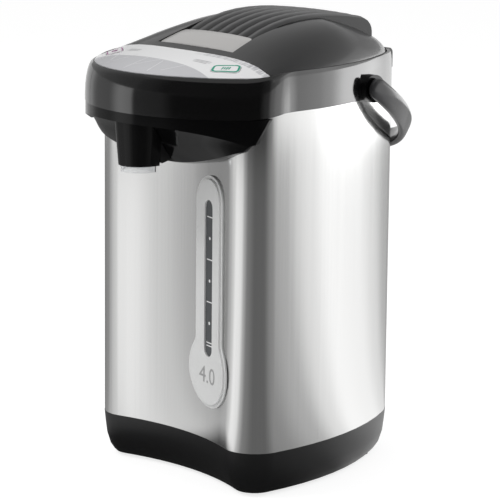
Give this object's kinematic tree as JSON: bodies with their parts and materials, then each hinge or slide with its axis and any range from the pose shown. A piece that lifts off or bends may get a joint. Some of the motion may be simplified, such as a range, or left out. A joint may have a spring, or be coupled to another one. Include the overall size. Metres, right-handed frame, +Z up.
{
  "type": "electric thermo pot",
  "caption": "Electric thermo pot with a steel jacket hollow in front, an overhanging spout head, a crowned ribbed lid that hinges at the back, a water gauge and a swinging carrying handle.",
  "frame": {"origin": "centre of the plan box, at the height of the feet's undersides", "axes": "+Z up, -Y towards the spout, +X to the pot's own left as it faces the reader's right"},
  "size_m": [0.2086, 0.2782, 0.3657],
  "materials": {
    "charcoal_moulding": "satin moulded polypropylene",
    "foot_rubber": "matt",
    "zinc_steel": "plated",
    "brushed_jacket": "brushed up and down, clear coated",
    "black_gloss": "high gloss",
    "grey_moulding": "satin",
    "pale_panel": "printed film under a clear coat",
    "board_green": "solder mask",
    "clear_plastic": "clear",
    "white_nylon": "satin",
    "pearl_plastic": "pearl",
    "smoked_window": "smoked, with printed marks",
    "drawn_steel": "deep drawn, polished",
    "cast_heater": "as cast",
    "mica_band": "mica",
    "silicone": "translucent white",
    "brass_pin": "plated",
    "lid_charcoal": "satin metallic paint",
    "warm_silver": "warm silver paint",
    "handle_grey": "metallic grey, gloss",
    "green_key": "printed key",
    "magenta_key": "printed key"
  },
  "bodies": {
    "pot": {"base_cover": "charcoal_moulding", "base_plate": "charcoal_moulding", "rubber_feet": "foot_rubber", "base_screws": "zinc_steel", "outer_shell": "brushed_jacket", "head_cover": "black_gloss", "chin_cover": "black_gloss", "mouth_ring": "grey_moulding", "control_panel": "pale_panel", "control_board": "board_green", "spout_cover": "black_gloss", "spout_guard": "clear_plastic", "spout_nozzle": "white_nylon", "gauge_frame": "pearl_plastic", "gauge_window": "smoked_window", "level_tube": "clear_plastic", "inner_pot": "drawn_steel", "heater_plate": "cast_heater", "warm_band": "mica_band", "thermostats": "white_nylon", "tie_rods": "zinc_steel", "pump_housing": "white_nylon", "pump_lid": "white_nylon", "pump_motor": "zinc_steel", "suction_tube": "silicone", "delivery_tube": "silicone", "power_board": "board_green", "power_inlet": "charcoal_moulding", "inlet_pins": "brass_pin", "cup_switch": "charcoal_moulding", "lever_pin": "zinc_steel", "hinge_pin": "zinc_steel", "handle_pivots": "black_gloss"},
    "lid": {"lid_cover": "lid_charcoal", "lid_spine": "lid_charcoal", "lid_liner": "charcoal_moulding", "lid_plate": "drawn_steel", "lid_gasket": "silicone", "steam_valve": "white_nylon", "release_pin": "zinc_steel"},
    "release_lever": {"release_lever": "warm_silver"},
    "latch": {"latch_bolt": "white_nylon", "latch_spring": "zinc_steel"},
    "handle": {"handle": "handle_grey"},
    "dispense_button": {"dispense_button": "green_key"},
    "unlock_button": {"unlock_button": "magenta_key"},
    "cup_lever": {"cup_lever": "black_gloss"},
    "motor_rotor": {"motor_rotor": "grey_moulding"},
    "impeller": {"impeller": "white_nylon"}
  },
  "joints": [
    {"name": "lid_hinge", "type": "hinge", "parent": "pot", "child": "lid", "pos_m": [0, 0.11791, 0.3268], "axis": [-1, 0, 0], "range_deg": [0, 95]},
    {"name": "release_lever_hinge", "type": "hinge", "parent": "lid", "child": "release_lever", "pos_m": [0, -0.05059, 0.34069], "axis": [1, 0, 0], "range_deg": [0, 12], "stiffness_Nm_per_rad": 0.05, "springref_deg": -14.32},
    {"name": "latch_slide", "type": "slide", "parent": "lid", "child": "latch", "axis": [0, 1, 0], "range_m": [0, 0.0018]},
    {"name": "handle_swing", "type": "hinge", "parent": "pot", "child": "handle", "pos_m": [0, 0.04841, 0.309], "axis": [1, 0, 0], "range_deg": [0, 124]},
    {"name": "dispense_press", "type": "slide", "parent": "pot", "child": "dispense_button", "axis": [0, 0, -1], "range_m": [0, 0.0008], "stiffness_N_per_m": 600, "springref_m": -0.0005},
    {"name": "unlock_press", "type": "slide", "parent": "pot", "child": "unlock_button", "axis": [0, 0, -1], "range_m": [0, 0.0008], "stiffness_N_per_m": 600, "springref_m": -0.0005},
    {"name": "cup_lever_hinge", "type": "hinge", "parent": "pot", "child": "cup_lever", "pos_m": [0, -0.10159, 0.2875], "axis": [1, 0, 0], "range_deg": [0, 8], "stiffness_Nm_per_rad": 0.08, "springref_deg": -8.59},
    {"name": "motor_spin", "type": "hinge", "parent": "pot", "child": "motor_rotor", "pos_m": [0, -0.03859, 0.035], "axis": [0, 0, 1], "continuous": true},
    {"name": "impeller_spin", "type": "hinge", "parent": "pot", "child": "impeller", "pos_m": [0, -0.03859, 0.044], "axis": [0, 0, 1], "continuous": true}
  ],
  "couplings": [
    {"joint": "latch_slide", "follows": "release_lever_hinge", "m_per_rad": 0.0081},
    {"joint": "impeller_spin", "follows": "motor_spin", "ratio": 1}
  ]
}
